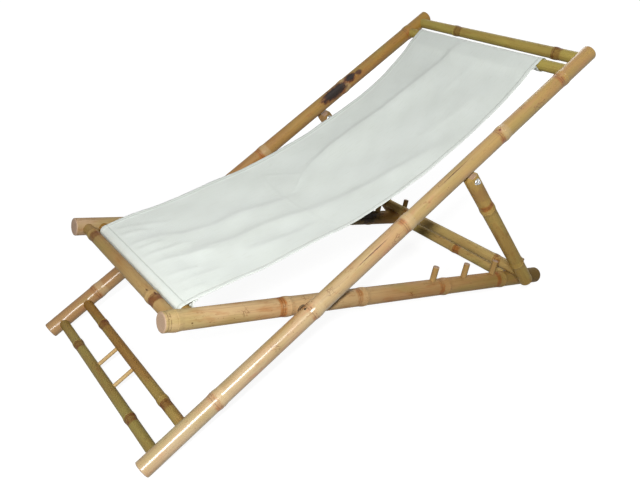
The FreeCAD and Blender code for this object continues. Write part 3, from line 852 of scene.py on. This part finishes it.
def evenly(points, count):
    """The same line with points at even steps, and its length."""
    points = np.array(points)
    steps = np.linalg.norm(np.diff(points, axis=0), axis=1)
    reached = np.concatenate([[0], np.cumsum(steps)])
    wanted = np.linspace(0, reached[-1], count)
    return np.stack([np.interp(wanted, reached, points[:, k]) for k in (0, 1)], 1), reached[-1]


smooth_sheet = through([front_part[-2], sheet_start, *sag_points, sheet_end, head_part[1]], 24)
side_view = front_part + smooth_sheet[1:] + head_part
rows = 330
curve, cloth_length = evenly(side_view, rows + 1)
tangent = np.gradient(curve, axis=0)
tangent /= np.linalg.norm(tangent, axis=1)[:, None]
normal = np.stack([-tangent[:, 1], tangent[:, 0]], 1)
print("cloth is", round(cloth_length, 3), "m long")

# %% [markdown]
# Seen from above, the cloth is nearly a strip, drawn in a little where it is pulled tight.
# Its folds are long ridges that start at the gathered front sleeve or at the head.
# A ridge is written as the line of its crest in plan, with a height and a width on each side.
# The side that looks away from the foot end's left is the steeper one.

# %% Edges of the cloth in plan
left_edge = ((-0.49, -0.214), (-0.40, -0.211), (-0.27, -0.209), (0.0, -0.209), (0.30, -0.209),
             (0.53, -0.207))
right_edge = ((-0.49, 0.206), (-0.25, 0.219), (0.0, 0.222), (0.17, 0.217), (0.28, 0.206), (0.38, 0.206),
              (0.53, 0.228))
hollow_at = ((-0.45, 0.0), (-0.36, 0.004), (-0.285, 0.009), (-0.166, 0.014), (-0.056, 0.017),
             (0.044, 0.017), (0.158, 0.015), (0.274, 0.012), (0.384, 0.007), (0.464, 0.0025),
             (0.50, 0.0))
print("deepest hollow", max(depth for _, depth in hollow_at), "m")

# %% Folds in plan
# Crest points in plan, height, width on the far side, width on the near side
long_folds = (
    (((0.640, 0.030), (0.531, 0.056), (0.466, 0.071), (0.391, 0.085), (0.300, 0.100), (0.201, 0.115),
      (0.117, 0.114), (0.054, 0.105), (0.006, 0.083), (-0.050, 0.050)), 0.0062, 0.013, 0.050),
    (((-0.462, 0.100), (-0.352, 0.046), (-0.278, 0.038), (-0.194, 0.043), (-0.106, 0.025),
      (-0.020, 0.015)), 0.0072, 0.020, 0.052),
    (((-0.464, -0.016), (-0.407, -0.031), (-0.354, -0.046), (-0.276, -0.053), (-0.180, -0.048),
      (-0.057, -0.075), (0.040, -0.096), (0.164, -0.131), (0.229, -0.147), (0.300, -0.178)),
     0.0070, 0.021, 0.054),
    (((-0.300, -0.112), (-0.230, -0.123), (-0.142, -0.132), (-0.070, -0.135)), 0.0034, 0.016, 0.034),
    (((0.530, 0.056), (0.391, 0.085), (0.200, 0.115), (0.020, 0.100), (-0.12, 0.10)), 0.0042, 0.060, 0.080),
    (((0.490, -0.030), (0.440, -0.020), (0.380, -0.010)), 0.0008, 0.009, 0.014),
    (((0.440, -0.120), (0.330, -0.100), (0.200, -0.060)), 0.0016, 0.018, 0.030),
)
ironed = (
    (((-0.064, 0.170), (-0.078, 0.100), (-0.083, 0.020), (-0.088, -0.060), (-0.084, -0.140),
      (-0.072, -0.190)), 0.0008, 0.0035, 0.0045),
    (((-0.062, 0.166), (-0.023, 0.130), (0.010, 0.088)), 0.0010, 0.0035, 0.007),
    (((0.010, 0.088), (-0.022, 0.062), (-0.053, 0.041)), 0.0010, 0.0035, 0.007),
)
pleat_count = 9
crest_shift = 0.006            # the dark side of a fold lies this far beyond its crest
print("folds", len(long_folds) + len(ironed), "and", pleat_count, "pleats at the front sleeve")

# %% Height of one fold
def crest_offset(line, x, y):
    """Distance to the crest, the side it is on and the share of the crest's length there."""
    y = y + crest_shift
    best = np.full(x.shape, 9.0)
    side = np.zeros(x.shape)
    share = np.zeros(x.shape)
    lengths = [math.dist(a, b) for a, b in zip(line, line[1:])]
    reached = 0.0
    for (a, b), length in zip(zip(line, line[1:]), lengths):
        way_x, way_y = (b[0] - a[0]) / length, (b[1] - a[1]) / length
        t = np.clip((x - a[0]) * way_x + (y - a[1]) * way_y, 0, length)
        gap_x, gap_y = x - a[0] - way_x * t, y - a[1] - way_y * t
        gap = np.hypot(gap_x, gap_y)
        closer = gap < best
        best = np.where(closer, gap, best)
        side = np.where(closer, gap_y, side)
        share = np.where(closer, (reached + t) / sum(lengths), share)
        reached += length
    return best, side, share


def ridge(line, height, far_width, near_width, x, y, fade=0.25):
    away, side, share = crest_offset(line, x, y)
    width = np.where(side > 0, far_width, near_width)
    profile = 1 / (1 + (away / width) ** 2) ** 1.5
    ends = np.clip(np.minimum(share, 1 - share) / fade, 0, 1)
    return height * profile * ends * ends * (3 - 2 * ends)


some_y = np.linspace(-0.1, 0.1, 3)
print("first fold at three places", ridge(*long_folds[0], np.full(3, 0.3), some_y).round(4))

# %% Height of all folds
def fold_height(x, y):
    total = np.zeros(x.shape)
    for line, height, far_width, near_width in long_folds:
        total += ridge(line, height, far_width, near_width, x, y)
    for line, height, far_width, near_width in ironed:
        total += ridge(line, height, far_width, near_width, x, y, 0.1)
    chance = random.Random(7)
    for i in range(pleat_count):
        start_y = 0.186 - i * 0.044 + chance.uniform(-0.014, 0.014)
        lean = -0.40 * (start_y + 0.20) / 0.40 + chance.uniform(-0.12, 0.12)
        reach = chance.uniform(0.070, 0.180)
        line = [(-0.475, start_y), (-0.466 + reach, start_y + reach * lean)]
        height = chance.uniform(0.0018, 0.0034) * (1.0 if start_y > -0.03 else 0.45)
        total += ridge(line, height, 0.009, 0.017, x, y, 0.35)
    return total


def slow_waves(x, y):
    long_wave = np.sin(x * 19 + 1.3) * np.sin(y * 31 + x * 9 + 0.4)
    short_wave = np.sin(x * 43 - y * 25 + 2.0) * np.sin(y * 57 - x * 12)
    return 0.0012 * long_wave + 0.0009 * short_wave


test_x, test_y = np.meshgrid(np.linspace(-0.46, 0.48, 200), np.linspace(-0.2, 0.2, 80))
print("folds rise", round(float(np.ptp(fold_height(test_x, test_y))) * 1000, 1), "mm")

# %% [markdown]
# A grid of small squares is made flat, and each of its points is then laid on the cloth.
# The columns are closer together at the hems, so that the sewn step shows.
# The flat position goes into a UV map, in metres, for the weave and the stitches.

# %% Columns of the grid
columns = 132
hem_width = 0.0125
hem_rise = 0.0011
hem_seam = hem_width - 0.0025  # from the edge to the sewing
cut_width = 0.430
hem_stops = (0.0, 0.003, 0.007, 0.0110, 0.0122, 0.0130, 0.0142, 0.018)


def column_share(i):
    if i < len(hem_stops):
        return hem_stops[i] / cut_width
    if i > columns - len(hem_stops):
        return 1 - hem_stops[columns - i] / cut_width
    low = hem_stops[-1] / cut_width
    inner = columns - 2 * (len(hem_stops) - 1)
    return low + (1 - 2 * low) * (i - len(hem_stops) + 1) / inner


print("first columns at", [round(column_share(i) * cut_width, 4) for i in range(4)], "m")

# %% Rows over the bars
step = cloth_length / rows
front_bar_x = middle("front_sling_bar").x
head_bar_x = middle("head_sling_bar").x
crest_row = next(i for i in range(rows) if curve[i, 0] > front_bar_x
                 and normal[i, 1] > 0.9 and i * step > 0.05)
head_row = rows - next(i for i in range(rows) if curve[rows - i, 0] < head_bar_x
                       and normal[rows - i, 1] > 0.5 and i * step > 0.05)
# Folds fade in soon behind a bar, the hollow and the slow waves more slowly
front_fade, head_fade = 0.010, 0.014
sag_from, sag_to = 0.026, 0.070
free_rows = (crest_row, crest_row + front_fade / step, head_row - head_fade / step, head_row)
sag_rows = (crest_row + sag_from / step, crest_row + sag_to / step,
            head_row - sag_to / step, head_row - sag_from / step)
print("rows over the bars", crest_row, head_row)

# %% A place on the cloth
def lay_cloth(row, share):
    """Points of the cloth and its normals, for arrays of rows and of shares across."""
    steps = np.arange(rows + 1)
    x = np.interp(row, steps, curve[:, 0])
    z = np.interp(row, steps, curve[:, 1])
    nx = np.interp(row, steps, normal[:, 0])
    nz = np.interp(row, steps, normal[:, 1])
    low = np.interp(x, *zip(*left_edge))
    high = np.interp(x, *zip(*right_edge))
    y = low + (high - low) * share
    pleated = np.interp(row, free_rows, (0.0, 1.0, 1.0, 0.0))
    sagging = np.interp(row, sag_rows, (0.0, 1.0, 1.0, 0.0))
    hollow = np.interp(x, *zip(*hollow_at)) * 4 * share * (1 - share)
    from_edge = np.minimum(share, 1 - share) * cut_width
    hem = hem_rise * np.clip((hem_width + 0.0005 - from_edge) / 0.001, 0, 1)
    lift = pleated * fold_height(x, y) + sagging * (slow_waves(x, y) - hollow) + hem
    return np.stack([x + nx * lift, y, z + nz * lift], -1), np.stack([nx, np.zeros_like(nx), nz], -1)


halfway, _ = lay_cloth(np.array([rows / 2]), np.array([0.5]))
print("middle of the cloth", halfway.round(3))

# %% Lay the grid on the cloth
sling_mesh = bpy.data.meshes.new("canvas_sling")
sheet = bmesh.new()
bmesh.ops.create_grid(sheet, x_segments=rows, y_segments=columns, size=0.5)
uv_layer = sheet.loops.layers.uv.new("flat_cloth")
row_of = np.array([round((v.co.x + 0.5) * rows) for v in sheet.verts])
column_of = [round((v.co.y + 0.5) * columns) for v in sheet.verts]
share_of = np.array([column_share(i) for i in column_of])
places, _ = lay_cloth(row_of.astype(float), share_of)
for vertex, place in zip(sheet.verts, places):
    vertex.co = place
sheet.verts.index_update()
for face in sheet.faces:
    face.smooth = True
    for loop in face.loops:
        i = loop.vert.index
        loop[uv_layer].uv = (share_of[i] * cut_width, row_of[i] * step)
sheet.to_mesh(sling_mesh)
sheet.free()
print("sling faces", len(sling_mesh.polygons))

# %% Sling with the thickness of canvas
sling = bpy.data.objects.new("canvas_sling", sling_mesh)
bpy.context.scene.collection.objects.link(sling)
thick = sling.modifiers.new("cloth_thickness", "SOLIDIFY")
thick.thickness = cloth_thickness
thick.offset = 0
print("canvas is", thick.thickness, "m thick")

# %% [markdown]
# Canvas is a plain weave of off-white cotton, about a dozen threads to the centimetre.
# That is finer than a pixel here, so the weave is drawn at two millimetres and kept faint.
# Seams and ironed creases lie in the mesh. The finish adds thread, slubs, a soft sheen and painted shade
# beside the rows of sewing.

# %% Threads of the canvas
rib = 1.9635                             # millimetres from thread to thread
slub_wide, slub_long = 2.0, 33.33
wave_length = 2 * math.pi / 20           # of a wave texture whose scale is 1


def canvas_threads(tree, uv):
    """Warp and weft as two crossed waves, and slubs along the cloth."""
    waves = []
    for turn in (0.0, math.pi / 2):
        turned_uv = add(tree, "ShaderNodeMapping", {"Vector": uv, "Rotation": (0, 0, turn)})
        wave = add(tree, "ShaderNodeTexWave", {
            "Vector": turned_uv, "Scale": 1000 * wave_length / rib, "Distortion": 1.2,
            "Detail": 2.0})
        waves.append(wave.outputs["Fac"])
    weave = add(tree, "ShaderNodeMath", {0: waves[0], 1: waves[1]}, operation="MULTIPLY")
    stretched = add(tree, "ShaderNodeMapping", {
        "Vector": uv, "Scale": (1000 / slub_wide, 1000 / slub_long, 1)})
    slub = add(tree, "ShaderNodeTexNoise", {"Vector": stretched, "Scale": 1.0, "Detail": 4.0})
    return weave, slub


print("ribs are", rib, "mm apart, so the wave's scale is", round(1000 * wave_length / rib, 1))

# %% Seams drawn into the canvas
front_seam = crest_row * step + 0.002
seam_half, seam_core = 0.0022, 0.0006


def canvas_seams(tree, uv):
    """Share from 0 to 1 beside the three rows of sewing, where the thread pulls the cloth in."""
    flat_place = add(tree, "ShaderNodeSeparateXYZ", {0: uv})
    across, lengthways = flat_place.outputs["X"], flat_place.outputs["Y"]
    seams = None
    rows_of_sewing = (
        (lengthways, front_seam), (across, hem_seam), (across, cut_width - hem_seam))
    for coordinate, at in rows_of_sewing:
        off = add(tree, "ShaderNodeMath", {0: coordinate, 1: at}, operation="SUBTRACT")
        off = add(tree, "ShaderNodeMath", {0: off}, operation="ABSOLUTE")
        line = add(tree, "ShaderNodeMapRange", {
            "Value": off, "From Min": seam_half, "From Max": seam_core},
            interpolation_type="SMOOTHSTEP")
        if seams is not None:
            line = add(tree, "ShaderNodeMath", {0: seams, 1: line}, operation="MAXIMUM")
        seams = line
    return seams


print("front seam", round(front_seam, 4), "m from the raw end")

# %% Canvas
stain_size = 111.1                       # millimetres


def canvas():
    material, tree = new_material("cotton_canvas")
    uv = add(tree, "ShaderNodeUVMap", {}, uv_map="flat_cloth")
    weave, slub = canvas_threads(tree, uv)
    seams = canvas_seams(tree, uv)
    stain = add(tree, "ShaderNodeTexNoise", {"Vector": uv, "Scale": 1000 / stain_size, "Detail": 4.0})
    shade = add(tree, "ShaderNodeMapRange", {"Value": stain, "From Min": 0.35, "From Max": 0.7})
    thread = add(tree, "ShaderNodeMapRange", {
        "Value": slub, "From Min": 0.55, "From Max": 0.75, "To Max": 0.35})
    # Painted shade beside the rows of sewing, where the thread pulls the cloth into a small crease
    seam_painted_shade = add(tree, "ShaderNodeMath", {0: seams, 1: 0.22}, operation="MULTIPLY")
    colour = linear("#e0e6e0")
    for share, hex_colour in ((shade, "#dbe1da"), (thread, "#c9cec2"), (seam_painted_shade, "#8d9288")):
        colour = add(tree, "ShaderNodeMix", {0: share, 6: colour, 7: linear(hex_colour)},
                     data_type="RGBA")
    height = add(tree, "ShaderNodeMath", {0: weave, 1: slub}, operation="ADD")
    height = add(tree, "ShaderNodeMath", {0: seams, 1: -3.0, 2: height}, operation="MULTIPLY_ADD")
    bump = add(tree, "ShaderNodeBump", {"Height": height, "Distance": 0.00018})
    finish_material(tree, add(tree, "ShaderNodeBsdfPrincipled", {
        "Base Color": colour, "Roughness": 0.9, "Sheen Weight": 0.25,
        "Sheen Roughness": 0.5, "Specular IOR Level": 0.25, "Normal": bump}))
    return material


sling.data.materials.append(canvas())
print("canvas on", sling.name)

# %% [markdown]
# Lockstitch shows as a row of short thread dashes, each a little sunk at its ends.
# One dash is a small stretched ball, and a copy of it is laid at every step of each seam.

# %% One stitch, and a seam of them
stitch_pitch = 0.0042
stitch_length = 0.0030
thread_radius = 0.00035
thread_lift = cloth_thickness / 2 + thread_radius * 0.8
stitches = bmesh.new()


def stitch_at(place, way, out):
    across = out.cross(way).normalized()
    turn = Matrix((way, across, out)).transposed().to_4x4()
    size = Matrix.Diagonal((stitch_length / 2, thread_radius, thread_radius, 1))
    bmesh.ops.create_icosphere(stitches, subdivisions=1, radius=1,
                               matrix=Matrix.Translation(place) @ turn @ size)


def seam(row_line, share_line):
    """Stitches along a line over the cloth, one for each step of the line."""
    places, outs = lay_cloth(row_line, share_line)
    for a, b, out in zip(places, places[1:], outs):
        way = Vector(b - a)
        out = Vector(out)
        way = (way - out * way.dot(out)).normalized()
        stitch_at(Vector((a + b) / 2) + out * thread_lift, way, out)


print("a stitch every", stitch_pitch, "m")

# %% Sew both hems and the front sleeve
hem_count = round((head_row - crest_row) * step / stitch_pitch)
hem_rows = np.linspace(crest_row + 2, head_row - 2, hem_count)
for share in (hem_seam / cut_width, 1 - hem_seam / cut_width):
    seam(hem_rows, np.full(hem_count, share))
cross_count = round(cut_width / stitch_pitch)
cross_shares = np.linspace(0.004, 0.996, cross_count)
seam(np.full(cross_count, front_seam / step), cross_shares)
for face in stitches.faces:
    face.smooth = True
stitch_mesh = bpy.data.meshes.new("sling_stitches")
stitches.to_mesh(stitch_mesh)
stitches.free()
stitch_piece = bpy.data.objects.new("sling_stitches", stitch_mesh)
bpy.context.scene.collection.objects.link(stitch_piece)
print("stitches", 2 * (hem_count - 1) + cross_count - 1)

# %% Thread
twist_size = 1.111                       # millimetres
thread_material, tree = new_material("cotton_thread")
spot = add(tree, "ShaderNodeTexCoord", {})
twist = add(tree, "ShaderNodeTexNoise", {
    "Vector": spot.outputs["Object"], "Scale": 1000 / twist_size, "Detail": 2.0})
tone = add(tree, "ShaderNodeMix", {0: twist, 6: linear("#c3c6bb"), 7: linear("#a9ada1")},
           data_type="RGBA")
thread_shader = add(tree, "ShaderNodeBsdfPrincipled", {"Base Color": tone, "Roughness": 0.8})
finish_material(tree, thread_shader)
stitch_piece.data.materials.append(thread_material)
print("thread on", stitch_piece.name)

# %% [markdown]
# The cloth joins two frames that turn against each other.
# Here the cloth and its stitches are only fixed where they lie, and the plain sling of the model is hidden.

# %% Fix the cloth in place and hide the model's sling
for piece in (sling, stitch_piece):
    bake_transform(piece)
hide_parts("sling")
